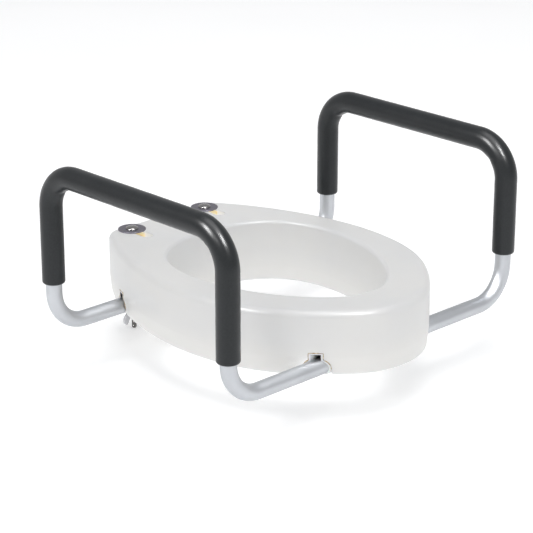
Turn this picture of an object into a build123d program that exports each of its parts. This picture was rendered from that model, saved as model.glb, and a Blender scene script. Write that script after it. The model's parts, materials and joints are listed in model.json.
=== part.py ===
"""Raised toilet seat: a foam-filled seat ring with two padded arms that pull out of sockets in
its sides, held to the toilet bowl by two long bolts.

Millimetres. X runs across the seat, -Y is its front, +Z is up. The origin lies midway between
the two bolts, on the plane where the seat's rubber pads rest on the bowl.
"""

import os
from math import cos, radians, sqrt

from build123d import *

# ---- Driving dimensions ------------------------------------------------------------------

# Seat ring
SEAT_HEIGHT = 90.0
PAD_STAND = 1.0  # how far the pads hold the underside above the bowl
SKIN = 3.0  # wall of the moulded skin
FOAM_GAP = 0.1  # between the skin's inside and the foam, so that both stay separate solids
PARTING_HEIGHT = 27.0  # where the two halves of the mould met
LOWER_DRAFT = 2.5  # how far the wall runs inward from the parting line to the underside
TOP_EDGE_R = 10.0
BOTTOM_EDGE_R = 5.0
RIM_EDGE_R = 5.0  # round edge where the top runs into the opening
THROAT_EDGE_R = 3.0
THROAT_HEIGHT = 22.0  # the opening is upright below this height and widens above it
THROAT_TAPER = 4.5

HALF_WIDTH = 180.5
NOSE_Y = -468.0
REAR_Y = 22.4
CORNER_R = 26.0
OUTLINE = [  # right half, from the nose to where the rear corner begins
    (0, NOSE_Y),
    (50, -457),
    (92, -426),
    (150.4, -356),
    (178.5, -266),
    (178.7, -186),
    (161.2, -106),
    (126.6, -26),
    (103.5, 10.9),
]

OPENING_HALF_WIDTH = 131.5
OPENING_FRONT_Y = -402.5
OPENING_REAR_Y = -77.0
OPENING = [  # right half, from the front to the rear
    (0, OPENING_FRONT_Y),
    (28, -398.3),
    (54, -381.5),
    (95.5, -331),
    (127, -250),
    (131, -181),
    (108, -119),
    (60, -86),
    (0, OPENING_REAR_Y),
]

# Arms
TUBE_R = 11.11  # 7/8 inch aluminium tube
TUBE_WALL = 1.6
BEND_R = 50.0
LEG_X = 263.0
TUBE_Z = 12.2
BAR_Z = 235.2
GRIP_R = 15.9
GRIP_GAP = 0.05
GRIP_END_R = 3.0
GRIP_ENDS_Z = {  # the foam sits a little differently on each arm
    "left": {"front": 65.5, "rear": 77.3},
    "right": {"front": 78.6, "rear": 84.3},
}
ENDS = {"front": {"y": -409.5, "tip": 50.0}, "rear": {"y": -64.0, "tip": 85.0}}
SIDES = {"left": -1, "right": 1}

# Sockets, their keyways and the sprung buttons
RUNNING_GAP = 0.08
SOCKET_WALL = 1.6
SOCKET_FLOOR = 4.0  # how far the socket runs past the tube's tip
SOCKET_PROUD = 0.3  # how far the socket's mouth stands out of the seat's wall
SOCKET_OPENING = 14.0  # width of the gap along the socket's underside
CHANNEL_GAP = 0.35
KEYWAY_WIDTH = 10.0
KEYWAY_RISE = 7.5  # above the tube
KEYWAY_START = 40.0  # from the tube's tip, where the open keyway begins
BUTTON_FROM_TIP = 27.0
BUTTON_R = 4.25
BUTTON_RISE = 3.6
BUTTON_DOME = 1.5
BUTTON_HOLE_R = 4.45
BUTTON_FLANGE_R = 5.2
BUTTON_FLANGE = 1.0
WINDOW_R = 4.8
FLARE_START = 46.0  # from the tube's tip
FLARE_WIDTH = 9.0
FLARE_DEPTH = 15.0
SPRING_THICK = 0.7
SPRING_WIDTH = 7.0
SPRING_BEND_R = 3.0
SPRING_BEND_FROM_TIP = 43.0
SPRING_TOE_FROM_TIP = 6.0
SPRING_SEAT = 10.0  # length of the flat under the button
SPRING_PLAY = 0.05

# Mounting bolts: 5/16 inch carriage bolts, 6 inches under the head
BOLT_SPACING = 139.7
BOLT_LENGTH = 152.4
SHANK_R = 3.97
THREAD_R = 3.85
THREAD_TOP = -20.0
HEAD_R = 9.15
HEAD_HEIGHT = 3.6
HEAD_EDGE = 0.6  # upright edge under the dome
NECK_WIDTH = 8.2
NECK_HEIGHT = 4.6
NECK_PLAY = 0.3
BOLT_TIP = 1.2
SLOT_WIDTH = 16.0
SLOT_REAR = 8.0  # the slot's rear end, behind the bolt
SLOT_TRAVEL = 33.0
SLOT_EDGE_R = 1.2
LINING_START_Y = -19.5  # the moulded wall of the slot's front end begins here
FENDER_R = 20.0
FENDER_THICK = 1.5
FENDER_EDGE_R = 0.4
WASHER_GAP = 0.06
BOWL_THICK = 28.0  # the bowl's shelf that the bolts clamp

CONE_WASHER_R = 15.0
CONE_WASHER_THICK = 4.0
CONE_WASHER_BORE_R = 4.0
CONE_WASHER_EDGE_R = 1.0
CONE_R = 7.5
CONE_TIP_R = 6.2
CONE_HEIGHT = 5.0
STEEL_WASHER_R = 12.7
STEEL_WASHER_THICK = 1.6
STEEL_WASHER_BORE_R = 4.25
STEEL_WASHER_EDGE_R = 0.3
NUT_HUB_R = 7.6
NUT_HUB_TOP_R = 6.2
NUT_HEIGHT = 9.0
WING_SPAN = 38.0
WING_DROP = 10.0
WING_THICK = 3.0
WING_ROOT = 2.0  # how far each wing is sunk into the hub
WING_TIP_WIDTH = 9.0

# Rubber pads: centre x, centre y and turn for the right-hand side
PADS = {"front": (130.0, -330.0, -28.0), "rear": (138.0, -128.0, 14.0)}
PAD_LENGTH = 46.0
PAD_WIDTH = 14.0
PAD_RECESS = 2.0
PAD_GLUE = 0.05  # between the pad and the roof of its pocket
PAD_PLAY = 0.1
PAD_GROOVE = 0.6
PAD_GROOVE_WIDTH = 1.6
PAD_GROOVES = 5

# ---- Derived places ----------------------------------------------------------------------

UNDERSIDE = PAD_STAND
MID_Y = (NOSE_Y + REAR_Y) / 2
HALF_LENGTH = (REAR_Y - NOSE_Y) / 2
OPENING_MID_Y = (OPENING_FRONT_Y + OPENING_REAR_Y) / 2
OPENING_HALF_LENGTH = (OPENING_REAR_Y - OPENING_FRONT_Y) / 2
BORE_R = TUBE_R + RUNNING_GAP
SOCKET_R = BORE_R + SOCKET_WALL
KEYWAY_TOP = TUBE_R + KEYWAY_RISE
SOCKET_TOP = KEYWAY_TOP + SOCKET_WALL
TUBE_BORE_R = TUBE_R - TUBE_WALL
BOLT_X = BOLT_SPACING / 2
SLOT_LENGTH = SLOT_REAR + SLOT_TRAVEL + SLOT_WIDTH / 2
SLOT_MID_Y = SLOT_REAR - SLOT_LENGTH / 2
FENDER_BOTTOM = SEAT_HEIGHT + WASHER_GAP
HEAD_BOTTOM = FENDER_BOTTOM + FENDER_THICK + WASHER_GAP
CONE_WASHER_TOP = -BOWL_THICK - WASHER_GAP
STEEL_WASHER_TOP = CONE_WASHER_TOP - CONE_WASHER_THICK - WASHER_GAP
NUT_TOP = STEEL_WASHER_TOP - STEEL_WASHER_THICK - WASHER_GAP


def save(builder, name):
    """Label a finished piece and write its STEP file."""
    builder.part.label = name
    export_step(builder.part, f"parts/{name}.step")


# ---- Plan shapes -------------------------------------------------------------------------


def shrunk(points, inset, mid_y, half_width, half_length):
    """Points drawn inward by the inset towards a centre on the Y axis."""
    return [
        (x * (1 - inset / half_width), mid_y + (y - mid_y) * (1 - inset / half_length))
        for x, y in points
    ]


def seat_plan(inset):
    """The seat's outline, drawn inward by the inset."""
    points = shrunk(OUTLINE, inset, MID_Y, HALF_WIDTH, HALF_LENGTH)
    corner_x, corner_y = points[-1]
    corner_r = CORNER_R - inset
    with BuildSketch() as plan:
        with BuildLine():
            side = Spline([(-x, y) for x, y in reversed(points[1:])] + points)
            heading = side % 1
            rear_x = corner_x - corner_r * heading.Y
            rear_y = corner_y + corner_r * (1 + heading.X)
            TangentArc(side @ 1, (rear_x, rear_y), tangent=heading)
            rear = Line((rear_x, rear_y), (-rear_x, rear_y))
            TangentArc(rear @ 1, side @ 0, tangent=rear % 1)
        make_face()
    return plan.sketch


def opening_plan(inset):
    """The opening's outline; the inset makes it smaller."""
    points = shrunk(OPENING, inset, OPENING_MID_Y, OPENING_HALF_WIDTH, OPENING_HALF_LENGTH)
    points += [(-x, y) for x, y in reversed(points[1:-1])]
    with BuildSketch() as plan:
        with BuildLine():
            Spline(points, periodic=True)
        make_face()
    return plan.sketch


def seat_ring(inset):
    """The whole ring as one solid, with every wall moved inward by the inset."""
    low = UNDERSIDE + inset
    high = SEAT_HEIGHT - inset
    with BuildPart() as ring:
        with BuildSketch(Plane.XY.offset(PARTING_HEIGHT)):
            add(seat_plan(inset))
        extrude(amount=high - PARTING_HEIGHT)
        with BuildSketch(Plane.XY.offset(low)):
            add(seat_plan(inset + LOWER_DRAFT))
        with BuildSketch(Plane.XY.offset(PARTING_HEIGHT)):
            add(seat_plan(inset))
        loft(ruled=True)
        with BuildSketch(Plane.XY.offset(high)):
            add(opening_plan(-inset))
        with BuildSketch(Plane.XY.offset(THROAT_HEIGHT)):
            add(opening_plan(THROAT_TAPER - inset))
        loft(ruled=True, mode=Mode.SUBTRACT)
        with BuildSketch(Plane.XY.offset(low)):
            add(opening_plan(THROAT_TAPER - inset))
        extrude(amount=THROAT_HEIGHT - low, mode=Mode.SUBTRACT)
        top = ring.faces().sort_by(Axis.Z)[-1]
        fillet(top.outer_wire().edges(), TOP_EDGE_R - inset)
        top = ring.faces().sort_by(Axis.Z)[-1]
        fillet(top.inner_wires()[0].edges(), RIM_EDGE_R - inset / 2)
        bottom = ring.faces().sort_by(Axis.Z)[0]
        fillet(bottom.outer_wire().edges(), BOTTOM_EDGE_R - inset)
        bottom = ring.faces().sort_by(Axis.Z)[0]
        fillet(bottom.inner_wires()[0].edges(), THROAT_EDGE_R - inset / 2)
    return ring.part


# ---- Cut-outs shared by the skin and the foam --------------------------------------------


def socket_plane(side, end, from_tip):
    """Plane across a socket, a distance outward from the tube's tip; local y is up."""
    sign = SIDES[side]
    place = (sign * (ENDS[end]["tip"] + from_tip), ENDS[end]["y"], TUBE_Z)
    return Plane(origin=place, x_dir=(0, sign, 0), z_dir=(sign, 0, 0))


def wall_depth(end):
    """From the tube's tip to a point well outside the seat's wall."""
    return LEG_X - BEND_R - ENDS[end]["tip"]


def keyhole(radius, key_width, key_top):
    """Round hole with a square key slot above it."""
    with BuildSketch() as profile:
        Circle(radius)
        with Locations((0, key_top / 2)):
            Rectangle(key_width, key_top)
    return profile.sketch


def arch(radius, key_width, key_top, depth):
    """Keyhole profile whose sides run straight down, so that it is open below."""
    half = key_width / 2
    shoulder = sqrt(radius**2 - half**2)
    swing = radius * cos(radians(45))
    with BuildSketch() as profile:
        with BuildLine():
            left = ThreePointArc((-radius, 0), (-swing, swing), (-half, shoulder))
            right = ThreePointArc((half, shoulder), (swing, swing), (radius, 0))
            Polyline(left @ 1, (-half, key_top), (half, key_top), right @ 0)
            Polyline(right @ 1, (radius, -depth), (-radius, -depth), left @ 0)
        make_face()
    return profile.sketch


def socket_channels(gap):
    """Four keyhole channels, open along the underside."""
    key_width = KEYWAY_WIDTH + 2 * (SOCKET_WALL + gap)
    with BuildPart() as channels:
        for side in SIDES:
            for end in ENDS:
                with BuildSketch(socket_plane(side, end, -SOCKET_FLOOR - gap)):
                    add(arch(SOCKET_R + gap, key_width, SOCKET_TOP + gap, TUBE_Z + 1))
                extrude(amount=wall_depth(end))
    return channels.part


def mouth_flares():
    """Wedges that open each channel towards the front at the seat's lower edge."""
    with BuildPart() as flares:
        for side, sign in SIDES.items():
            for end in ENDS:
                with BuildSketch(socket_plane(side, end, FLARE_START)):
                    with BuildLine():
                        Polyline(
                            (0, 0),
                            (-sign * SOCKET_R, 0),
                            (-sign * (SOCKET_R + FLARE_WIDTH), -FLARE_DEPTH),
                            (0, -FLARE_DEPTH),
                            close=True,
                        )
                    make_face()
                extrude(amount=wall_depth(end) - FLARE_START)
    return flares.part


def bolt_slots():
    """The two fore-and-aft slots that the bolts pass through."""
    with BuildPart() as slots:
        with BuildSketch():
            with Locations((-BOLT_X, SLOT_MID_Y), (BOLT_X, SLOT_MID_Y)):
                SlotOverall(SLOT_LENGTH, SLOT_WIDTH, rotation=90)
        extrude(amount=SEAT_HEIGHT + 1)
    return slots.part


def slot_linings(gap):
    """Moulded walls round the front ends of the slots, between the top and the underside."""
    grow = 2 * (SKIN + gap)
    with BuildPart() as linings:
        with BuildSketch(Plane.XY.offset(UNDERSIDE + SKIN / 2)):
            with Locations((-BOLT_X, SLOT_MID_Y), (BOLT_X, SLOT_MID_Y)):
                SlotOverall(SLOT_LENGTH + grow, SLOT_WIDTH + grow, rotation=90)
            with Locations((0, LINING_START_Y + gap + SLOT_LENGTH / 2)):
                Rectangle(2 * HALF_WIDTH, SLOT_LENGTH, mode=Mode.SUBTRACT)
        extrude(amount=SEAT_HEIGHT - UNDERSIDE - SKIN)
    return linings.part


def pad_places():
    """Name, centre and turn of each rubber pad."""
    for side, sign in SIDES.items():
        for end, (x, y, turn) in PADS.items():
            yield f"{side}_{end}_pad", (sign * x, y), 90 + sign * turn


def pad_recesses():
    """Pockets in the underside that hold the rubber pads."""
    with BuildPart() as recesses:
        for _, centre, turn in pad_places():
            with BuildSketch(Plane.XY.offset(UNDERSIDE)):
                with Locations(centre):
                    SlotOverall(PAD_LENGTH + 2 * PAD_PLAY, PAD_WIDTH + 2 * PAD_PLAY, rotation=turn)
            extrude(amount=PAD_RECESS)
    return recesses.part


# ---- Seat --------------------------------------------------------------------------------

os.makedirs("parts", exist_ok=True)

with BuildPart() as seat_skin:
    add(seat_ring(0))
    add(seat_ring(SKIN), mode=Mode.SUBTRACT)
    add(slot_linings(0))
    add(socket_channels(CHANNEL_GAP), mode=Mode.SUBTRACT)
    add(mouth_flares(), mode=Mode.SUBTRACT)
    add(bolt_slots(), mode=Mode.SUBTRACT)
    add(pad_recesses(), mode=Mode.SUBTRACT)
    top_loops = seat_skin.faces().sort_by(Axis.Z)[-1].inner_wires()
    slot_loops = top_loops.sort_by(SortBy.LENGTH)[:2]
    fillet([edge for loop in slot_loops for edge in loop.edges()], SLOT_EDGE_R)
save(seat_skin, "seat_skin")

with BuildPart() as foam_core:
    add(seat_ring(SKIN + FOAM_GAP))
    add(socket_channels(CHANNEL_GAP + FOAM_GAP), mode=Mode.SUBTRACT)
    add(mouth_flares(), mode=Mode.SUBTRACT)
    add(bolt_slots(), mode=Mode.SUBTRACT)
    add(slot_linings(FOAM_GAP), mode=Mode.SUBTRACT)
save(foam_core, "foam_core")

for pad_name, pad_centre, pad_turn in pad_places():
    with BuildPart() as pad:
        with BuildSketch():
            with Locations(pad_centre):
                SlotOverall(PAD_LENGTH, PAD_WIDTH, rotation=pad_turn)
        extrude(amount=PAD_STAND + PAD_RECESS - PAD_GLUE)
        groove_plane = Plane.XY.rotated((0, 0, pad_turn)).move(Location((*pad_centre, 0)))
        with BuildSketch(groove_plane):
            with GridLocations(PAD_LENGTH / (PAD_GROOVES + 1), 0, PAD_GROOVES, 1):
                Rectangle(PAD_GROOVE_WIDTH, PAD_WIDTH)
        extrude(amount=PAD_GROOVE, mode=Mode.SUBTRACT)
    save(pad, pad_name)


# ---- Sockets -----------------------------------------------------------------------------

mouth_trim = seat_ring(-SOCKET_PROUD)

for side in SIDES:
    for end in ENDS:
        with BuildPart() as socket:
            with BuildSketch(socket_plane(side, end, -SOCKET_FLOOR)):
                add(keyhole(SOCKET_R, KEYWAY_WIDTH + 2 * SOCKET_WALL, SOCKET_TOP))
            extrude(amount=wall_depth(end))
            with BuildSketch(socket_plane(side, end, -SOCKET_FLOOR)):
                Circle(BORE_R)
            extrude(amount=wall_depth(end) + 1, mode=Mode.SUBTRACT)
            with BuildSketch(socket_plane(side, end, KEYWAY_START)):
                add(keyhole(BORE_R, KEYWAY_WIDTH, KEYWAY_TOP))
            extrude(amount=wall_depth(end), mode=Mode.SUBTRACT)
            with BuildSketch(socket_plane(side, end, -SOCKET_FLOOR)):
                with Locations((0, -SOCKET_R)):
                    Rectangle(SOCKET_OPENING, SOCKET_R)
            extrude(amount=wall_depth(end) + 1, mode=Mode.SUBTRACT)
            button_plane = socket_plane(side, end, BUTTON_FROM_TIP)
            with BuildSketch(Plane(origin=button_plane.origin)):
                Circle(WINDOW_R)
            extrude(amount=KEYWAY_TOP, mode=Mode.SUBTRACT)
            add(mouth_trim, mode=Mode.INTERSECT)
        save(socket, f"{side}_{end}_socket")


# ---- Arms --------------------------------------------------------------------------------


def bent_path(corners, radius):
    """Straight runs through the corners, with a round bend at each inner one."""
    corners = [Vector(*corner) for corner in corners]
    here = corners[0]
    with BuildLine() as path:
        for before, corner, after in zip(corners, corners[1:], corners[2:]):
            heading = (corner - before).normalized()
            bend_start = corner - heading * radius
            bend_end = corner + (after - corner).normalized() * radius
            Line(here, bend_start)
            TangentArc(bend_start, bend_end, tangent=heading)
            here = bend_end
        Line(here, corners[-1])
    return path.line


for side, sign in SIDES.items():
    leg_x = sign * LEG_X
    front_y = ENDS["front"]["y"]
    rear_y = ENDS["rear"]["y"]
    bar = [(leg_x, front_y, BAR_Z), (leg_x, rear_y, BAR_Z)]

    with BuildPart() as arm_tube:
        arm_path = bent_path(
            [
                (sign * ENDS["front"]["tip"], front_y, TUBE_Z),
                (leg_x, front_y, TUBE_Z),
                *bar,
                (leg_x, rear_y, TUBE_Z),
                (sign * ENDS["rear"]["tip"], rear_y, TUBE_Z),
            ],
            BEND_R,
        )
        with BuildSketch(Plane(origin=arm_path @ 0, z_dir=arm_path % 0)):
            Circle(TUBE_R)
            Circle(TUBE_BORE_R, mode=Mode.SUBTRACT)
        sweep(path=arm_path)
        for end in ENDS:
            button_plane = socket_plane(side, end, BUTTON_FROM_TIP)
            with BuildSketch(Plane(origin=button_plane.origin)):
                Circle(BUTTON_HOLE_R)
            extrude(amount=TUBE_R + 1, mode=Mode.SUBTRACT)
    save(arm_tube, f"{side}_arm_tube")

    with BuildPart() as grip:
        grip_path = bent_path(
            [
                (leg_x, front_y, GRIP_ENDS_Z[side]["front"]),
                *bar,
                (leg_x, rear_y, GRIP_ENDS_Z[side]["rear"]),
            ],
            BEND_R,
        )
        with BuildSketch(Plane(origin=grip_path @ 0, z_dir=grip_path % 0)):
            Circle(GRIP_R)
            Circle(TUBE_R + GRIP_GAP, mode=Mode.SUBTRACT)
        sweep(path=grip_path)
        grip_rims = grip.edges().filter_by(GeomType.CIRCLE).group_by(Axis.Z)
        ends_of_grip = [edge for edge in grip_rims[0] + grip_rims[1] if edge.radius > TUBE_R + 1]
        fillet(ends_of_grip, GRIP_END_R)
    save(grip, f"{side}_arm_grip")


# ---- Buttons and their springs -----------------------------------------------------------

FLANGE_TOP = sqrt(TUBE_BORE_R**2 - BUTTON_FLANGE_R**2) - RUNNING_GAP
FLANGE_BOTTOM = FLANGE_TOP - BUTTON_FLANGE
BUTTON_TOP = TUBE_R + BUTTON_RISE
LEAF_TOP = FLANGE_BOTTOM - SPRING_PLAY - SPRING_THICK / 2
LEAF_BOTTOM = SPRING_PLAY + SPRING_THICK / 2 - sqrt(TUBE_BORE_R**2 - (SPRING_WIDTH / 2) ** 2)

for side in SIDES:
    for end in ENDS:
        origin = socket_plane(side, end, BUTTON_FROM_TIP).origin

        with BuildPart() as button:
            with BuildSketch(Plane(origin=origin + Vector(0, 0, FLANGE_BOTTOM))):
                Circle(BUTTON_FLANGE_R)
            extrude(amount=BUTTON_FLANGE)
            with BuildSketch(Plane(origin=origin + Vector(0, 0, FLANGE_TOP))):
                Circle(BUTTON_R)
            extrude(amount=BUTTON_TOP - FLANGE_TOP)
            fillet(button.edges().group_by(Axis.Z)[-1], BUTTON_DOME)
        save(button, f"{side}_{end}_button")

        leaf_plane = Plane(
            origin=socket_plane(side, end, 0).origin,
            x_dir=(SIDES[side], 0, 0),
            z_dir=(0, -SIDES[side], 0),
        )
        with BuildPart() as spring:
            with BuildSketch(leaf_plane):
                with BuildLine():
                    toe = (SPRING_TOE_FROM_TIP, LEAF_BOTTOM)
                    bend_low = (SPRING_BEND_FROM_TIP, -SPRING_BEND_R)
                    bend_high = (SPRING_BEND_FROM_TIP, SPRING_BEND_R)
                    lower = Line(toe, bend_low)
                    bend = TangentArc(bend_low, bend_high, tangent=lower % 1)
                    upper = Line(bend @ 1, (BUTTON_FROM_TIP + SPRING_SEAT / 2, LEAF_TOP))
                    Line(upper @ 1, (BUTTON_FROM_TIP - SPRING_SEAT / 2, LEAF_TOP))
                trace(line_width=SPRING_THICK)
            extrude(amount=SPRING_WIDTH / 2, both=True)
        save(spring, f"{side}_{end}_spring")


# ---- Bolts, washers and wing nuts --------------------------------------------------------

for side, sign in SIDES.items():
    bolt_x = sign * BOLT_X
    bolt_axis = Axis((bolt_x, 0, 0), (0, 0, 1))
    bolt_plane = Plane(origin=(bolt_x, 0, 0), x_dir=(1, 0, 0), z_dir=(0, -1, 0))
    thread_end = HEAD_BOTTOM - BOLT_LENGTH

    with BuildPart() as bolt:
        with BuildSketch(bolt_plane):
            with BuildLine():
                Polyline(
                    (0, HEAD_BOTTOM),
                    (0, thread_end),
                    (THREAD_R - BOLT_TIP, thread_end),
                    (THREAD_R, thread_end + BOLT_TIP),
                    (THREAD_R, THREAD_TOP),
                    (SHANK_R, THREAD_TOP),
                    (SHANK_R, HEAD_BOTTOM),
                    close=True,
                )
            make_face()
            with BuildLine():
                dome = ThreePointArc(
                    (0, HEAD_BOTTOM + HEAD_HEIGHT),
                    (HEAD_R * 0.62, HEAD_BOTTOM + HEAD_HEIGHT * 0.74),
                    (HEAD_R, HEAD_BOTTOM + HEAD_EDGE),
                )
                Polyline(dome @ 1, (HEAD_R, HEAD_BOTTOM), (0, HEAD_BOTTOM), dome @ 0)
            make_face()
        revolve(axis=bolt_axis)
        with BuildSketch(Plane(origin=(bolt_x, 0, HEAD_BOTTOM - NECK_HEIGHT))):
            Rectangle(NECK_WIDTH, NECK_WIDTH)
        extrude(amount=NECK_HEIGHT)
    save(bolt, f"{side}_mounting_bolt")

    with BuildPart() as fender_washer:
        with BuildSketch(Plane(origin=(bolt_x, 0, FENDER_BOTTOM))):
            Circle(FENDER_R)
            Rectangle(NECK_WIDTH + NECK_PLAY, NECK_WIDTH + NECK_PLAY, mode=Mode.SUBTRACT)
        extrude(amount=FENDER_THICK)
        fillet(fender_washer.edges().filter_by(GeomType.CIRCLE), FENDER_EDGE_R)
    save(fender_washer, f"{side}_top_washer")

    with BuildPart() as cone_washer:
        with BuildSketch(bolt_plane):
            with BuildLine():
                Polyline(
                    (CONE_WASHER_BORE_R, CONE_WASHER_TOP - CONE_WASHER_THICK),
                    (CONE_WASHER_R, CONE_WASHER_TOP - CONE_WASHER_THICK),
                    (CONE_WASHER_R, CONE_WASHER_TOP),
                    (CONE_R, CONE_WASHER_TOP),
                    (CONE_TIP_R, CONE_WASHER_TOP + CONE_HEIGHT),
                    (CONE_WASHER_BORE_R, CONE_WASHER_TOP + CONE_HEIGHT),
                    close=True,
                )
            make_face()
        revolve(axis=bolt_axis)
        circles = cone_washer.edges().filter_by(GeomType.CIRCLE)
        outer = [circle for circle in circles if circle.radius > CONE_R + 1]
        fillet(outer, CONE_WASHER_EDGE_R)
    save(cone_washer, f"{side}_rubber_washer")

    with BuildPart() as steel_washer:
        with BuildSketch(Plane(origin=(bolt_x, 0, STEEL_WASHER_TOP))):
            Circle(STEEL_WASHER_R)
            Circle(STEEL_WASHER_BORE_R, mode=Mode.SUBTRACT)
        extrude(amount=-STEEL_WASHER_THICK)
        fillet(steel_washer.edges().filter_by(GeomType.CIRCLE), STEEL_WASHER_EDGE_R)
    save(steel_washer, f"{side}_steel_washer")

    with BuildPart() as wing_nut:
        with BuildSketch(bolt_plane):
            with BuildLine():
                Polyline(
                    (0, NUT_TOP),
                    (NUT_HUB_R, NUT_TOP),
                    (NUT_HUB_TOP_R, NUT_TOP - NUT_HEIGHT),
                    (0, NUT_TOP - NUT_HEIGHT),
                    close=True,
                )
            make_face()
        revolve(axis=bolt_axis)
        with BuildSketch(bolt_plane):
            with BuildLine():
                nut_bottom = NUT_TOP - NUT_HEIGHT
                wing_x = WING_SPAN / 2
                wing = Spline(
                    (NUT_HUB_R - WING_ROOT, NUT_TOP - WING_ROOT),
                    (wing_x - WING_THICK, NUT_TOP - NUT_HEIGHT / 2),
                    (wing_x, nut_bottom - WING_DROP * 0.6),
                    (wing_x - WING_TIP_WIDTH / 2, nut_bottom - WING_DROP),
                    (wing_x - WING_TIP_WIDTH, nut_bottom - WING_DROP * 0.45),
                    (NUT_HUB_TOP_R - WING_ROOT, nut_bottom),
                )
                Line(wing @ 1, wing @ 0)
            make_face()
            mirror(about=Plane.YZ)
        extrude(amount=WING_THICK / 2, both=True)
        with BuildSketch(Plane(origin=(bolt_x, 0, NUT_TOP))):
            Circle(THREAD_R + RUNNING_GAP)
        extrude(amount=-NUT_HEIGHT - WING_DROP, mode=Mode.SUBTRACT)
    save(wing_nut, f"{side}_wing_nut")
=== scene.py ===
"""Looks for the raised toilet seat: foam grips, screw threads, leaf springs, rubber pieces, foam
seams, materials, floor, light and camera. Metres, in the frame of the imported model.
"""

import json
import math

import bmesh
import bpy
from mathutils import Matrix, Vector, noise


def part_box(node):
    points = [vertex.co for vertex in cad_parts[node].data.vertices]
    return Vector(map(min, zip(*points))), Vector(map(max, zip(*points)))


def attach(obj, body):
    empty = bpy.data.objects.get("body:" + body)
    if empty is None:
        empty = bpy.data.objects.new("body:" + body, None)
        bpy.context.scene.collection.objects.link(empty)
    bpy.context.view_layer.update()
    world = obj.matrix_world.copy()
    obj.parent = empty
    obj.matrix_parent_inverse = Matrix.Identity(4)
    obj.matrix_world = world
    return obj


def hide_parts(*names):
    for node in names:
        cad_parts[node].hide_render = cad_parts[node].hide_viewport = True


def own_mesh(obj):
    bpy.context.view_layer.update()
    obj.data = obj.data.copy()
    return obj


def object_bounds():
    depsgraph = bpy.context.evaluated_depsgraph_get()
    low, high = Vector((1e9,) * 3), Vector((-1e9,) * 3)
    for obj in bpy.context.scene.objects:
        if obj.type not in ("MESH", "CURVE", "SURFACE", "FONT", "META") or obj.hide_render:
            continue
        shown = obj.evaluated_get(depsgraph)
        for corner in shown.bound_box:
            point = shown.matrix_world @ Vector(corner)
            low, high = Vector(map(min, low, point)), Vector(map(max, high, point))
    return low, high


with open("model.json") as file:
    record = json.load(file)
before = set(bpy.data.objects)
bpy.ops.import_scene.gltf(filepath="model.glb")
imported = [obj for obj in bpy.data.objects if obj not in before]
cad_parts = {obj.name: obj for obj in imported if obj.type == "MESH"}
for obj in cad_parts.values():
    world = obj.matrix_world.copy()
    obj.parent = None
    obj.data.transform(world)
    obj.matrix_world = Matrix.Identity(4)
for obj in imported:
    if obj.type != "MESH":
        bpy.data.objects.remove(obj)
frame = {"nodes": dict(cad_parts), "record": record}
cad_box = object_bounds()

SIDES = ("left", "right")
ENDS = ("front", "rear")

# ---- Driving dimensions ------------------------------------------------------------------

BEND_R = 0.050  # centreline of the arms' bends
TUBE_R = 0.01111
GRIP_BORE_R = TUBE_R + 0.0001
GRIP_END_R = 0.0030
GRIP_END_STEPS = 6
GRIP_ROW = 0.0022  # spacing of the rings of vertices along the foam
GRIP_SEGMENTS = 56
BORE_SPARSER = 3  # the unseen bore has this many times fewer rings
CREASE_DEPTH = 0.0011
CREASE_WIDTH = 0.0055
BULGE_HEIGHT = 0.0006
BULGE_OFFSET = 0.0130
STRETCH_THIN = 0.0004  # how much thinner the foam is round the outside of a bend
STRETCH_REACH = 0.030
FOAM_WAVE = 0.00012
FOAM_WAVE_SLOW = 45.0  # waves in a metre
FOAM_WAVE_FAST = 120.0
GRIP_SHARP_ANGLE = 60  # degrees; a sharper edge is drawn sharp

THREAD_PITCH = 0.0254 / 18
THREAD_DEPTH = 0.00075
THREAD_TOP = -0.020
THREAD_ROWS = 10  # rows of vertices in one turn of the thread
THREAD_FLAT = 0.1  # share of a turn's height that is flat at the crest, and again at the root
BOLT_SEGMENTS = 64
BOLT_SHARP_ANGLE = 40
SHANK_R = 0.00386  # a little slimmer than the solid's, to clear the softened rubber washer
CREST_R = 0.00385
TIP_BEVEL = 0.0012
NECK_HALF = 0.0041
NECK_HEIGHT = 0.0046
NECK_CORNER = 1.34  # reach of the neck's softened corners, in halves of its width
HEAD_BEVEL = 0.0003
DOME_STEPS = 14
DOME_RISE = 1.15  # powers that flatten the dome from a plain ellipse
DOME_SPREAD = 0.92
STEP_GAP = 0.0001  # keeps neighbouring rings apart where the bolt's outline has a step
HEIGHT_DIGITS = 5  # heights of the solid's vertices are compared to 0.01 mm
HEIGHT_NEAR = 1e-5
RADIUS_NEAR = 1e-4

RUBBER_VOXEL = 0.00045
SOFTEN_FACTOR = 0.5
SOFTEN_STEPS = 3

TUBE_Z = 0.0122  # height of the sockets' axes
SEAM_R = 0.0133  # round part of the foam seam, just outside the channel in the seat's wall
SEAM_HALF_WIDTH = 0.0071
SEAM_TOP = 0.0330
SEAM_BOTTOM = 0.0012
SEAM_STEP = 0.0007
SEAM_BEAD_R = 0.0006
SEAM_MEAN = 0.75  # these four are shares of the bead's radius
SEAM_UNEVEN = 1.1
SEAM_THINNEST = 0.15
SEAM_FLATNESS = 0.7
SEAM_LUMPS = 190.0  # waves in a metre
SEAM_WANDER = 0.0003
SEAM_WANDER_WAVES = 420.0
SEAM_SEGMENTS = 8
RAY_START_X = 0.4

FLOOR_SIZE = 16.0
FLOOR_GAP = 0.0005
FLOOR_GLOW = 0.30
FOAM_GLOW = 0.40  # these two stand in for the light that reaches the slots through the plastic
LINING_GLOW = 0.42

WEAR_WIDTH = 0.0012
WEAR_FULL = 0.9  # dot product of the bevelled and the true normal where an edge is fully worn
WEAR_SAMPLES = 4
RECESS_SAMPLES = 8

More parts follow.
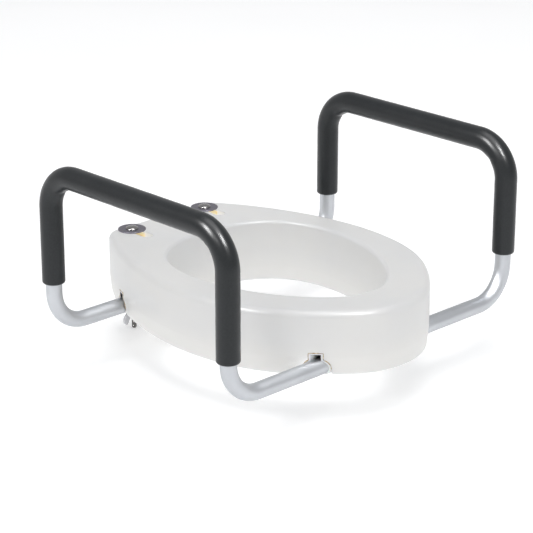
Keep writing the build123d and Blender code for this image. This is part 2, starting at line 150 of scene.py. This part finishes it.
HORIZON = (1.0, 1.0, 1.0)
ZENITH = (0.70, 0.71, 0.73)
ZENITH_FROM = 0.9
SURROUND = 0.70
LIGHTS = (  # name, place, width and height, watts, whether it lights matt surfaces
    ("key_left", (-2.6, -1.2, 2.2), (0.8, 0.8), 12.0, True),
    ("gloss_right", (-0.30, -1.55, 1.85), (0.34, 0.85), 62.0, False),
    ("gloss_left", (-2.10, 0.10, 1.90), (0.45, 0.80), 84.0, False),
    ("overhead", (0.0, -0.4, 3.0), (2.0, 2.0), 39.0, True),
)

CAMERA_AT = (-1.8774, -2.1548, 1.0746)
CAMERA_RIGHT = (0.7204, -0.6935, 0.0)
CAMERA_UP = (0.2413, 0.2506, 0.9375)
LENS_MM = 140.5
SENSOR_MM = 36.0


# ---- Mesh helpers ------------------------------------------------------------------------


def new_piece(name, verts, faces, material, body, smooth_below=None):
    """Mesh object from vertices and faces, riding on a body; edges over the angle stay sharp."""
    mesh = bpy.data.meshes.new(name)
    mesh.from_pydata(verts, [], faces)
    mesh.validate()
    shape = bmesh.new()
    shape.from_mesh(mesh)
    bmesh.ops.recalc_face_normals(shape, faces=shape.faces)
    shape.to_mesh(mesh)
    shape.free()
    mesh.shade_smooth()
    if smooth_below is not None:
        mesh.set_sharp_from_angle(angle=math.radians(smooth_below))
    mesh.materials.append(material)
    piece = bpy.data.objects.new(name, mesh)
    bpy.context.scene.collection.objects.link(piece)
    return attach(piece, body)


def ring_faces(rings, segments, closed):
    """Quads between neighbouring rings of vertices; closed joins the last ring to the first."""
    faces = []
    for row in range(rings if closed else rings - 1):
        here = row * segments
        there = ((row + 1) % rings) * segments
        for step in range(segments):
            turn = (step + 1) % segments
            faces.append((here + step, here + turn, there + turn, there + step))
    return faces


def lowest(node, chosen):
    """Height of the lowest vertex of a CAD node among those that pass the test."""
    return min(v.co.z for v in frame["nodes"][node].data.vertices if chosen(v.co))


def axis_of(node):
    """X and Y of the upright axis of a CAD node that is round."""
    low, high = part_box(node)
    return (low.x + high.x) / 2, (low.y + high.y) / 2


def copy_of(node, name, slot, body):
    """Object with the CAD node's mesh and its slot's material, in place of the node."""
    mesh = frame["nodes"][node].data.copy()
    mesh.name = name
    mesh.materials.clear()
    mesh.materials.append(MATERIALS[slot])
    piece = bpy.data.objects.new(name, mesh)
    bpy.context.scene.collection.objects.link(piece)
    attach(piece, body)
    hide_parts(node)
    return piece


# ---- Materials ---------------------------------------------------------------------------


class Shader:
    """A node material with a Principled shader, and short ways to drive its inputs."""

    def __init__(self, name, colour, roughness, metallic=0.0):
        self.material = bpy.data.materials.new(name)
        self.material.use_nodes = True
        self.nodes = self.material.node_tree.nodes
        self.links = self.material.node_tree.links
        self.principled = self.nodes["Principled BSDF"]
        self.principled.inputs["Base Color"].default_value = (*colour, 1)
        self.principled.inputs["Roughness"].default_value = roughness
        self.principled.inputs["Metallic"].default_value = metallic
        self.place = self.nodes.new("ShaderNodeTexCoord").outputs["Object"]
        self.bump_from = None

    def set(self, **values):
        for name, value in values.items():
            self.principled.inputs[name.replace("_", " ")].default_value = value

    def stretched(self, scale):
        """Object coordinates scaled by a different amount along each axis."""
        mapping = self.nodes.new("ShaderNodeMapping")
        mapping.inputs["Scale"].default_value = scale
        self.links.new(self.place, mapping.inputs["Vector"])
        return mapping.outputs["Vector"]

    def noise(self, scale, detail=3.0, rough=0.5, place=None):
        node = self.nodes.new("ShaderNodeTexNoise")
        node.inputs["Scale"].default_value = scale
        node.inputs["Detail"].default_value = detail
        node.inputs["Roughness"].default_value = rough
        self.links.new(place or self.place, node.inputs["Vector"])
        return node.outputs["Fac"]

    def cells(self, scale):
        node = self.nodes.new("ShaderNodeTexVoronoi")
        node.inputs["Scale"].default_value = scale
        self.links.new(self.place, node.inputs["Vector"])
        return node.outputs["Distance"]

    def ramp(self, factor, stops):
        """Colour ramp through (position, colour) stops; a single number is a grey."""
        node = self.nodes.new("ShaderNodeValToRGB")
        ends = node.color_ramp.elements
        while len(ends) < len(stops):
            ends.new(0.5)
        for element, (position, colour) in zip(ends, stops):
            element.position = position
            grey = (colour, colour, colour) if isinstance(colour, float) else colour
            element.color = (*grey, 1)
        self.links.new(factor, node.inputs["Fac"])
        return node.outputs["Color"]

    def mix(self, factor, first, second, blend="MIX"):
        """Mix of two colours, each a socket or an RGB triple."""
        node = self.nodes.new("ShaderNodeMix")
        node.data_type = "RGBA"
        node.blend_type = blend
        for index, value in ((0, factor), (6, first), (7, second)):  # 6 and 7 are A and B as RGBA
            socket = node.inputs[index]
            if isinstance(value, bpy.types.NodeSocket):
                self.links.new(value, socket)
            elif isinstance(value, tuple):
                socket.default_value = (*value, 1)
            else:
                socket.default_value = value
        return node.outputs[2]

    def height(self, low, high):
        """0 below the low height, 1 above the high one."""
        apart = self.nodes.new("ShaderNodeSeparateXYZ")
        self.links.new(self.place, apart.inputs["Vector"])
        node = self.nodes.new("ShaderNodeMapRange")
        node.inputs["From Min"].default_value = low
        node.inputs["From Max"].default_value = high
        self.links.new(apart.outputs["Z"], node.inputs["Value"])
        return node.outputs["Result"]

    def edge_wear(self):
        """Near 1 along sharp or tightly rounded edges, 0 on flats."""
        bevel = self.nodes.new("ShaderNodeBevel")
        bevel.samples = WEAR_SAMPLES
        bevel.inputs["Radius"].default_value = WEAR_WIDTH
        geometry = self.nodes.new("ShaderNodeNewGeometry")
        dot = self.nodes.new("ShaderNodeVectorMath")
        dot.operation = "DOT_PRODUCT"
        self.links.new(bevel.outputs["Normal"], dot.inputs[0])
        self.links.new(geometry.outputs["Normal"], dot.inputs[1])
        spread = self.nodes.new("ShaderNodeMapRange")
        spread.inputs["From Min"].default_value = 1.0
        spread.inputs["From Max"].default_value = WEAR_FULL
        self.links.new(dot.outputs["Value"], spread.inputs["Value"])
        return spread.outputs["Result"]

    def openness(self, reach):
        """0 deep in a recess, 1 where nothing stands nearby."""
        node = self.nodes.new("ShaderNodeAmbientOcclusion")
        node.samples = RECESS_SAMPLES
        node.inputs["Distance"].default_value = reach
        return node.outputs["AO"]

    def drive(self, name, socket):
        self.links.new(socket, self.principled.inputs[name])

    def bump(self, height, strength, distance):
        """Adds a bump on top of those already there."""
        node = self.nodes.new("ShaderNodeBump")
        node.inputs["Strength"].default_value = strength
        node.inputs["Distance"].default_value = distance
        self.links.new(height, node.inputs["Height"])
        if self.bump_from is not None:
            self.links.new(self.bump_from, node.inputs["Normal"])
        self.bump_from = node.outputs["Normal"]
        self.links.new(self.bump_from, self.principled.inputs["Normal"])


def moulded_skin():
    """Blow-moulded polyethylene: satin, a little translucent, faintly scuffed, with painted light
    glowing in its slots and paling its lower walls.
    """
    shader = Shader("moulded_skin", (0.70, 0.71, 0.72), 0.34)
    cloud = shader.noise(9.0, detail=2.0)
    tone = shader.ramp(cloud, [(0.35, (0.690, 0.700, 0.716)), (0.65, (0.722, 0.728, 0.734))])
    # painted light: the skin is painted paler below the parting line, standing in for light
    # reflected up onto the lower walls
    tone_and_low_light = shader.mix(shader.height(0.045, 0.020), tone, (0.745, 0.748, 0.748))
    shader.drive("Base Color", tone_and_low_light)
    scuffs = shader.noise(60.0, detail=8.0, rough=0.7, place=shader.stretched((1.0, 4.0, 1.0)))
    shader.drive("Roughness", shader.ramp(scuffs, [(0.30, 0.33), (0.55, 0.38), (0.75, 0.47)]))
    shader.set(IOR=1.50, Subsurface_Weight=0.18, Subsurface_Scale=0.012)
    shader.set(Subsurface_Radius=(1.0, 0.97, 0.94))
    # painted light: the skin glows in recesses such as its slots, standing in for light that comes
    # through the plastic
    glow = shader.ramp(shader.openness(0.03), [(0.35, 1.0), (0.75, 0.0)])
    shader.drive("Emission Color", shader.mix(1.0, tone_and_low_light, glow, "MULTIPLY"))
    shader.set(Emission_Strength=LINING_GLOW)
    shader.bump(shader.noise(28.0, detail=1.0), 0.10, 0.0012)
    shader.bump(shader.noise(1500.0, detail=2.0), 0.10, 0.0001)
    return shader.material


def foam_filling():
    """Rigid polyurethane foam: cream to amber, open cells where it is cut, with a painted glow."""
    shader = Shader("foam_filling", (0.90, 0.80, 0.55), 0.85)
    patches = shader.noise(70.0, detail=4.0)
    amber, cream, pale = (0.72, 0.52, 0.22), (0.93, 0.82, 0.54), (0.96, 0.90, 0.70)
    tone = shader.ramp(patches, [(0.28, amber), (0.50, cream), (0.75, pale)])
    pores = shader.ramp(shader.cells(900.0), [(0.0, 0.80), (0.5, 1.0)])
    shade = shader.mix(1.0, tone, pores, "MULTIPLY")
    shader.drive("Base Color", shade)
    # painted light: the foam glows in its own colour, standing in for light that comes through the
    # plastic into the slots
    shader.drive("Emission Color", shade)
    shader.set(Emission_Strength=FOAM_GLOW)
    shader.set(Subsurface_Weight=0.3, Subsurface_Scale=0.004)
    shader.bump(shader.cells(900.0), 0.6, 0.0006)
    return shader.material


def foam_seam():
    """Foam that squeezed out and yellowed between the moulded skin and a socket liner."""
    shader = Shader("foam_seam", (0.42, 0.28, 0.11), 0.7)
    patches = shader.noise(220.0, detail=4.0)
    brown, amber, pale = (0.16, 0.10, 0.045), (0.46, 0.31, 0.13), (0.74, 0.62, 0.40)
    shader.drive("Base Color", shader.ramp(patches, [(0.32, brown), (0.52, amber), (0.72, pale)]))
    shader.bump(shader.noise(2200.0, detail=3.0), 0.4, 0.0003)
    return shader.material


def grip_foam():
    """Closed-cell foam with a smooth skin: charcoal, soft sheen, fine cells."""
    shader = Shader("grip_foam", (0.010, 0.013, 0.015), 0.32)
    speckle = shader.noise(420.0, detail=4.0, rough=0.65)
    tone = shader.ramp(speckle, [(0.35, (0.006, 0.008, 0.010)), (0.70, (0.011, 0.014, 0.016))])
    shader.drive("Base Color", tone)
    handled = shader.noise(35.0, detail=3.0)
    shader.drive("Roughness", shader.ramp(handled, [(0.30, 0.29), (0.70, 0.35)]))
    shader.set(IOR=1.45, Specular_IOR_Level=0.50)
    shader.bump(shader.noise(140.0, detail=3.0), 0.07, 0.0004)
    shader.bump(shader.cells(1700.0), 0.06, 0.0002)
    return shader.material


def anodised_aluminium():
    """Etched and clear-anodised tube: pale satin grey with a fine grain."""
    shader = Shader("anodised_aluminium", (0.52, 0.53, 0.55), 0.40, metallic=1.0)
    cloud = shader.noise(24.0, detail=3.0)
    dull, clean = (0.50, 0.515, 0.54), (0.55, 0.565, 0.59)
    shader.drive("Base Color", shader.ramp(cloud, [(0.3, dull), (0.7, clean)]))
    rub = shader.noise(300.0, detail=6.0, rough=0.7)
    shader.drive("Roughness", shader.ramp(rub, [(0.3, 0.37), (0.7, 0.45)]))
    shader.bump(shader.noise(2600.0, detail=2.0), 0.06, 0.00005)
    return shader.material


def plated_steel(name, colour, roughness):
    """Zinc-plated or plain steel with stamping marks and brighter, worn edges."""
    shader = Shader(name, colour, roughness, metallic=1.0)
    cloud = shader.noise(160.0, detail=5.0, rough=0.6)
    dark = tuple(0.82 * part for part in colour)
    tone = shader.ramp(cloud, [(0.30, dark), (0.70, colour)])
    bright = tuple(min(1.0, 1.5 * part) for part in colour)
    shader.drive("Base Color", shader.mix(shader.edge_wear(), tone, bright))
    marks = shader.noise(900.0, detail=4.0, rough=0.7, place=shader.stretched((1.0, 0.12, 1.0)))
    smooth, dull = roughness * 0.85, roughness * 1.3
    shader.drive("Roughness", shader.ramp(marks, [(0.30, smooth), (0.70, dull)]))
    shader.bump(marks, 0.08, 0.0001)
    return shader.material


def polished_steel():
    """Bolt steel: polished, with the faint bloom that handling leaves."""
    shader = Shader("polished_steel", (0.30, 0.295, 0.29), 0.09, metallic=1.0)
    bloom = shader.noise(240.0, detail=4.0)
    shader.drive("Roughness", shader.ramp(bloom, [(0.3, 0.08), (0.7, 0.16)]))
    clean, dull = (0.34, 0.33, 0.325), (0.25, 0.245, 0.24)
    shader.drive("Base Color", shader.ramp(bloom, [(0.3, clean), (0.7, dull)]))
    return shader.material


def soft_rubber(name, colour):
    """Moulded rubber: matt, with a dusty bloom and a fine grain."""
    shader = Shader(name, colour, 0.62)
    bloom = shader.noise(90.0, detail=5.0, rough=0.6)
    dusty = tuple(min(1.0, 1.3 * part + 0.012) for part in colour)
    shader.drive("Base Color", shader.ramp(bloom, [(0.35, colour), (0.75, dusty)]))
    shader.drive("Roughness", shader.ramp(bloom, [(0.3, 0.54), (0.7, 0.74)]))
    shader.bump(shader.noise(1400.0, detail=3.0), 0.18, 0.00015)
    return shader.material


def liner_nylon():
    """Moulded nylon of the socket liners, slightly shinier and greyer than the skin, with painted
    shade in its recesses.
    """
    shader = Shader("liner_nylon", (0.74, 0.75, 0.75), 0.32)
    tone = shader.ramp(shader.noise(60.0), [(0.3, (0.72, 0.73, 0.74)), (0.7, (0.78, 0.78, 0.77))])
    # painted shade: the liner is darkened in its recesses, such as the inside of the keyway
    painted_recess_shade = shader.ramp(shader.openness(0.02), [(0.10, 0.04), (0.55, 1.0)])
    shader.drive("Base Color", shader.mix(1.0, tone, painted_recess_shade, "MULTIPLY"))
    rub = shader.noise(400.0, detail=5.0)
    shader.drive("Roughness", shader.ramp(rub, [(0.3, 0.27), (0.7, 0.40)]))
    shader.set(Subsurface_Weight=0.1, Subsurface_Scale=0.003)
    shader.bump(shader.noise(2000.0), 0.06, 0.00008)
    return shader.material


MATERIALS = {
    "seat_skin": moulded_skin(),
    "foam_core": foam_filling(),
    "socket": liner_nylon(),
    "pad_rubber": soft_rubber("pad_rubber", (0.30, 0.31, 0.32)),
    "arm_tube": anodised_aluminium(),
    "grip_foam": grip_foam(),
    "button": plated_steel("button_steel", (0.68, 0.68, 0.70), 0.25),
    "spring_steel": plated_steel("spring_steel", (0.32, 0.34, 0.38), 0.30),
    "bolt_steel": polished_steel(),
    "washer_steel": plated_steel("washer_steel", (0.20, 0.19, 0.225), 0.36),
    "clamp_rubber": soft_rubber("clamp_rubber", (0.022, 0.022, 0.023)),
    "nut_steel": plated_steel("nut_steel", (0.60, 0.60, 0.62), 0.32),
}
SEAM_MATERIAL = foam_seam()


def paint_cad_nodes():
    """Gives each CAD node the material of its slot in the record."""
    for row in frame["record"]["subparts"]:
        shown = frame["nodes"][row["node"]]
        shown.data.materials.clear()
        shown.data.materials.append(MATERIALS[row["material_slot"]])


# ---- Foam grips --------------------------------------------------------------------------


def grip_path(side):
    """Points and headings along the grip's centreline, and where along it the bends are."""
    node = f"{side}_arm_grip"
    low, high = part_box(node)
    radius = (high.x - low.x) / 2
    x = (low.x + high.x) / 2
    front_y, rear_y = low.y + radius, high.y - radius
    bar_z = high.z - radius
    middle_y = (front_y + rear_y) / 2
    front_z = lowest(node, lambda co: co.y < middle_y)
    rear_z = lowest(node, lambda co: co.y > middle_y)
    arc = BEND_R * math.pi / 2
    legs = [bar_z - BEND_R - front_z, rear_y - front_y - 2 * BEND_R, bar_z - BEND_R - rear_z]
    total = sum(legs) + 2 * arc
    bends = [legs[0] + arc / 2, legs[0] + arc + legs[1] + arc / 2]

    def at(distance):
        if distance <= legs[0]:
            return Vector((x, front_y, front_z + distance)), 0.0
        distance -= legs[0]
        if distance <= arc:
            turn = distance / BEND_R
            centre = Vector((x, front_y + BEND_R, bar_z - BEND_R))
            return centre + BEND_R * Vector((0, -math.cos(turn), math.sin(turn))), turn
        distance -= arc
        if distance <= legs[1]:
            return Vector((x, front_y + BEND_R + distance, bar_z)), math.pi / 2
        distance -= legs[1]
        if distance <= arc:
            turn = distance / BEND_R
            centre = Vector((x, rear_y - BEND_R, bar_z - BEND_R))
            return centre + BEND_R * Vector((0, math.sin(turn), math.cos(turn))), math.pi / 2 + turn
        distance -= arc
        return Vector((x, rear_y, bar_z - BEND_R - distance)), math.pi

    return at, total, bends, radius


def foam_radius(distance, swing, point, radius, bends):
    """Outer radius of the foam: even on straight runs, creased inside a bend, thin outside it."""
    inside = max(0.0, math.cos(swing))
    outside = max(0.0, -math.cos(swing))
    for bend in bends:
        away = distance - bend
        crease = math.exp(-((away / CREASE_WIDTH) ** 2))
        bulges = 0.0
        for offset in (-BULGE_OFFSET, BULGE_OFFSET):
            bulges += math.exp(-(((away - offset) / (2 * CREASE_WIDTH)) ** 2))
        spread = math.exp(-((away / STRETCH_REACH) ** 2))
        radius += inside**3 * (BULGE_HEIGHT * bulges - CREASE_DEPTH * crease)
        radius -= outside * STRETCH_THIN * spread
    fast = noise.noise(point * FOAM_WAVE_FAST)
    return radius + FOAM_WAVE * (noise.noise(point * FOAM_WAVE_SLOW) + 0.5 * fast)


def make_grip(side):
    """Foam sleeve swept round the arm's bar, closed at both ends and down its bore."""
    at, total, bends, radius = grip_path(side)
    body_r = radius - FOAM_WAVE * 1.5  # the most that the waves can add
    rows = [(0.0, GRIP_BORE_R), (0.0, body_r - GRIP_END_R)]
    for step in range(1, GRIP_END_STEPS + 1):
        turn = math.pi / 2 * step / GRIP_END_STEPS
        rows.append((GRIP_END_R * (1 - math.cos(turn)), body_r - GRIP_END_R * (1 - math.sin(turn))))
    count = round((total - 2 * GRIP_END_R) / GRIP_ROW)
    for step in range(1, count):
        rows.append((GRIP_END_R + (total - 2 * GRIP_END_R) * step / count, None))
    rows += [(total - distance, r) for distance, r in reversed(rows[: GRIP_END_STEPS + 2])]
    inner_count = count // BORE_SPARSER
    for step in range(1, inner_count):
        rows.append((total * (1 - step / inner_count), GRIP_BORE_R))
    verts = []
    for distance, fixed_r in rows:
        centre, turn = at(distance)
        inward = Vector((0, math.cos(turn), -math.sin(turn)))
        for segment in range(GRIP_SEGMENTS):
            swing = 2 * math.pi * segment / GRIP_SEGMENTS
            out = inward * math.cos(swing) + Vector((math.sin(swing), 0, 0))
            r = fixed_r or foam_radius(distance, swing, centre + out * radius, body_r, bends)
            verts.append(centre + out * r)
    faces = ring_faces(len(rows), GRIP_SEGMENTS, closed=True)
    material, body = MATERIALS["grip_foam"], f"{side}_arm"
    grip = new_piece(f"{side}_foam_grip", verts, faces, material, body, GRIP_SHARP_ANGLE)
    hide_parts(f"{side}_arm_grip")


# ---- Threaded bolts ----------------------------------------------------------------------


def lies_on_head(node, z, head_r):
    """Whether the CAD bolt has vertices of the head's full radius at this height."""
    x, y = axis_of(node)
    for vertex in frame["nodes"][node].data.vertices:
        away = math.hypot(vertex.co.x - x, vertex.co.y - y)
        if abs(vertex.co.z - z) < HEIGHT_NEAR and away > head_r - RADIUS_NEAR:
            return True
    return False


def thread_cut(angle, z):
    """How deep the thread's groove is here, from 0 at a crest to 1 at a root."""
    phase = (z / THREAD_PITCH - angle / (2 * math.pi)) % 1.0
    slope = abs(2 * phase - 1)
    return min(1.0, max(0.0, (slope - THREAD_FLAT) / (1 - 2 * THREAD_FLAT)))


def make_bolt(side):
    """Carriage bolt: domed head, square neck, plain shank and a cut thread with a bevelled tip."""
    node = f"{side}_mounting_bolt"
    low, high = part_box(node)
    x, y = axis_of(node)
    head_r = (high.x - low.x) / 2
    heights = {round(v.co.z, HEIGHT_DIGITS) for v in frame["nodes"][node].data.vertices}
    rim = [z for z in heights if lies_on_head(node, z, head_r)]
    head_low, dome_low = min(rim), max(rim)
    neck_low = head_low - NECK_HEIGHT
    thread_low = low.z + TIP_BEVEL

    rows = [(low.z, CREST_R - TIP_BEVEL, "round")]
    thread_rows = round((THREAD_TOP - thread_low) / THREAD_PITCH * THREAD_ROWS)
    for step in range(thread_rows + 1):
        share = step / thread_rows
        rows.append((thread_low + (THREAD_TOP - thread_low) * share, CREST_R, "thread"))
    rows.append((THREAD_TOP + THREAD_PITCH, SHANK_R, "round"))
    rows.append((neck_low - STEP_GAP, SHANK_R, "round"))
    rows.append((neck_low, NECK_HALF, "square"))
    rows.append((head_low - STEP_GAP, NECK_HALF, "square"))
    rows.append((head_low, head_r - HEAD_BEVEL, "round"))
    rows.append((head_low + HEAD_BEVEL, head_r, "round"))
    rows.append((dome_low - STEP_GAP, head_r, "round"))
    for step in range(1, DOME_STEPS):
        turn = math.pi / 2 * step / DOME_STEPS
        rise = (high.z - dome_low) * math.sin(turn) ** DOME_RISE
        rows.append((dome_low + rise, head_r * math.cos(turn) ** DOME_SPREAD, "round"))

    verts = []
    for z, r, kind in rows:
        for segment in range(BOLT_SEGMENTS):
            angle = 2 * math.pi * (segment + 0.5) / BOLT_SEGMENTS
            if kind == "thread":
                fade = min(1.0, (THREAD_TOP - z) / THREAD_PITCH)
                here = r - THREAD_DEPTH * fade * thread_cut(angle, z)
            elif kind == "square":
                corner = max(abs(math.cos(angle)), abs(math.sin(angle)))
                here = min(r / corner, r * NECK_CORNER)
            else:
                here = r
            verts.append((x + here * math.cos(angle), y + here * math.sin(angle), z))
    faces = ring_faces(len(rows), BOLT_SEGMENTS, closed=False)
    verts.append((x, y, low.z))
    verts.append((x, y, high.z))
    last = (len(rows) - 1) * BOLT_SEGMENTS
    for step in range(BOLT_SEGMENTS):
        turn = (step + 1) % BOLT_SEGMENTS
        faces.append((turn, step, len(verts) - 2))
        faces.append((last + step, last + turn, len(verts) - 1))
    material, body = MATERIALS["bolt_steel"], f"{side}_bolt"
    bolt = new_piece(f"{side}_carriage_bolt", verts, faces, material, body, BOLT_SHARP_ANGLE)
    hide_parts(node)


# ---- Leaf springs ------------------------------------------------------------------------


def make_leaf(side, end):
    """Leaf spring: a copy of the CAD spring with its own mesh, riding on the arm."""
    node = f"{side}_{end}_spring"
    leaf = copy_of(node, f"{side}_{end}_leaf", "spring_steel", f"{side}_arm")
    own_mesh(leaf)


# ---- Rubber pieces -----------------------------------------------------------------------


def make_soft_copy(node, name, slot, body):
    """Rubber piece with softened edges, from a fine remesh of its CAD solid."""
    piece = copy_of(node, name, slot, body)
    remesh = piece.modifiers.new("remesh", "REMESH")
    remesh.mode = "VOXEL"
    remesh.voxel_size = RUBBER_VOXEL
    soften = piece.modifiers.new("soften", "SMOOTH")
    soften.factor = SOFTEN_FACTOR
    soften.iterations = SOFTEN_STEPS
    seen = piece.evaluated_get(bpy.context.evaluated_depsgraph_get())
    final = bpy.data.meshes.new_from_object(seen)
    piece.modifiers.clear()
    piece.data = final
    final.shade_smooth()


# ---- Foam seams --------------------------------------------------------------------------


def seam_outline():
    """Across and up from the socket's axis, once round the open side of a socket's mouth."""
    low_turn = math.asin((SEAM_BOTTOM - TUBE_Z) / SEAM_R)
    high_turn = math.acos(SEAM_HALF_WIDTH / SEAM_R)
    steps = round((high_turn - low_turn) * SEAM_R / SEAM_STEP)
    half = []
    for step in range(steps + 1):
        turn = low_turn + (high_turn - low_turn) * step / steps
        half.append((SEAM_R * math.cos(turn), SEAM_R * math.sin(turn)))
    shoulder = half[-1][1]
    top = SEAM_TOP - TUBE_Z
    steps = round((top - shoulder) / SEAM_STEP)
    for step in range(1, steps + 1):
        half.append((SEAM_HALF_WIDTH, shoulder + (top - shoulder) * step / steps))
    steps = round(2 * SEAM_HALF_WIDTH / SEAM_STEP)
    lid = [(SEAM_HALF_WIDTH * (1 - 2 * step / steps), top) for step in range(1, steps)]
    return half + lid + [(-across, up) for across, up in reversed(half)]


def make_seam(side, end):
    """Thin uneven bead of foam along the joint between the seat's wall and a socket."""
    outward = -1 if side == "left" else 1
    low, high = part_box(f"{side}_{end}_socket")
    middle_y = (low.y + high.y) / 2
    skin = frame["nodes"]["seat_skin"]
    path = []
    for across, up in seam_outline():
        start = Vector((outward * RAY_START_X, middle_y + across, TUBE_Z + up))
        found, where, _, _ = skin.ray_cast(start, Vector((-outward, 0, 0)))
        if found:
            path.append(where)
    verts = []
    for step, point in enumerate(path):
        ahead = path[min(step + 1, len(path) - 1)] - path[max(step - 1, 0)]
        ahead.normalize()
        level = Vector((outward, 0, 0)) - ahead * ahead.x * outward
        level.normalize()
        sideways = ahead.cross(level)
        uneven = SEAM_MEAN + SEAM_UNEVEN * noise.noise(point * SEAM_LUMPS)
        thick = SEAM_BEAD_R * max(SEAM_THINNEST, uneven)
        shift = sideways * SEAM_WANDER * noise.noise(point * SEAM_WANDER_WAVES)
        for segment in range(SEAM_SEGMENTS):
            swing = 2 * math.pi * segment / SEAM_SEGMENTS
            out = level * SEAM_FLATNESS * math.cos(swing) + sideways * math.sin(swing)
            verts.append(point + shift + thick * out)
    faces = ring_faces(len(path), SEAM_SEGMENTS, closed=False)
    last = (len(path) - 1) * SEAM_SEGMENTS
    faces.append(tuple(range(SEAM_SEGMENTS)))
    faces.append(tuple(range(last, last + SEAM_SEGMENTS)))
    seam = new_piece(f"{side}_{end}_foam_seam", verts, faces, SEAM_MATERIAL, "seat")


# ---- Stage -------------------------------------------------------------------------------


def add_floor():
    """Pale floor just under the bolts' tips."""
    height = cad_box[0].z - FLOOR_GAP
    bpy.ops.mesh.primitive_plane_add(size=FLOOR_SIZE, location=(0, 0, height))
    floor = bpy.context.object
    floor.name = "floor"
    shader = Shader("pale_floor", (0.90, 0.90, 0.90), 0.6)
    shader.drive("Base Color", shader.ramp(shader.noise(3.0), [(0.3, 0.89), (0.7, 0.91)]))
    shader.set(Emission_Color=(1.0, 1.0, 1.0, 1.0), Emission_Strength=FLOOR_GLOW)
    floor.data.materials.append(shader.material)


def add_area(name, location, size, power, diffuse, target):
    """Rectangular light aimed at a point; without diffuse it shows only in reflections."""
    light = bpy.data.lights.new(name, "AREA")
    light.shape = "RECTANGLE"
    light.size, light.size_y = size
    light.energy = power
    lamp = bpy.data.objects.new(name, light)
    lamp.location = location
    lamp.rotation_mode = "QUATERNION"
    lamp.rotation_quaternion = (Vector(target) - Vector(location)).to_track_quat("-Z", "Y")
    lamp.visible_diffuse = diffuse
    bpy.context.scene.collection.objects.link(lamp)


def add_world():
    """Soft studio surround, brighter towards the horizon than overhead."""
    world = bpy.data.worlds.new("studio")
    world.use_nodes = True
    nodes, links = world.node_tree.nodes, world.node_tree.links
    place = nodes.new("ShaderNodeTexCoord")
    apart = nodes.new("ShaderNodeSeparateXYZ")
    ramp = nodes.new("ShaderNodeValToRGB")
    horizon, zenith = ramp.color_ramp.elements
    horizon.position, zenith.position = 0.0, ZENITH_FROM
    horizon.color, zenith.color = (*HORIZON, 1), (*ZENITH, 1)
    links.new(place.outputs["Generated"], apart.inputs["Vector"])
    links.new(apart.outputs["Z"], ramp.inputs["Fac"])
    links.new(ramp.outputs["Color"], nodes["Background"].inputs["Color"])
    nodes["Background"].inputs["Strength"].default_value = SURROUND
    bpy.context.scene.world = world


def add_camera():
    """Camera solved from the photo."""
    right, up = Vector(CAMERA_RIGHT), Vector(CAMERA_UP)
    facing = Matrix((right, up, right.cross(up))).transposed()
    data = bpy.data.cameras.new("camera")
    data.sensor_width = SENSOR_MM
    data.lens = LENS_MM
    camera = bpy.data.objects.new("camera", data)
    camera.location = CAMERA_AT
    camera.rotation_mode = "QUATERNION"
    camera.rotation_quaternion = facing.to_quaternion()
    bpy.context.scene.collection.objects.link(camera)
    bpy.context.scene.camera = camera


# ---- Build -------------------------------------------------------------------------------

paint_cad_nodes()
for side in SIDES:
    make_grip(side)
    make_bolt(side)
    make_soft_copy(f"{side}_rubber_washer", f"{side}_cone_washer", "clamp_rubber", f"{side}_clamp")
    for end in ENDS:
        make_soft_copy(f"{side}_{end}_pad", f"{side}_{end}_foot", "pad_rubber", "seat")
        make_leaf(side, end)
        make_seam(side, end)

add_floor()
add_world()
middle = (cad_box[0] + cad_box[1]) / 2
for light in LIGHTS:
    add_area(*light, middle)
add_camera()
bpy.context.scene.view_settings.view_transform = "Standard"
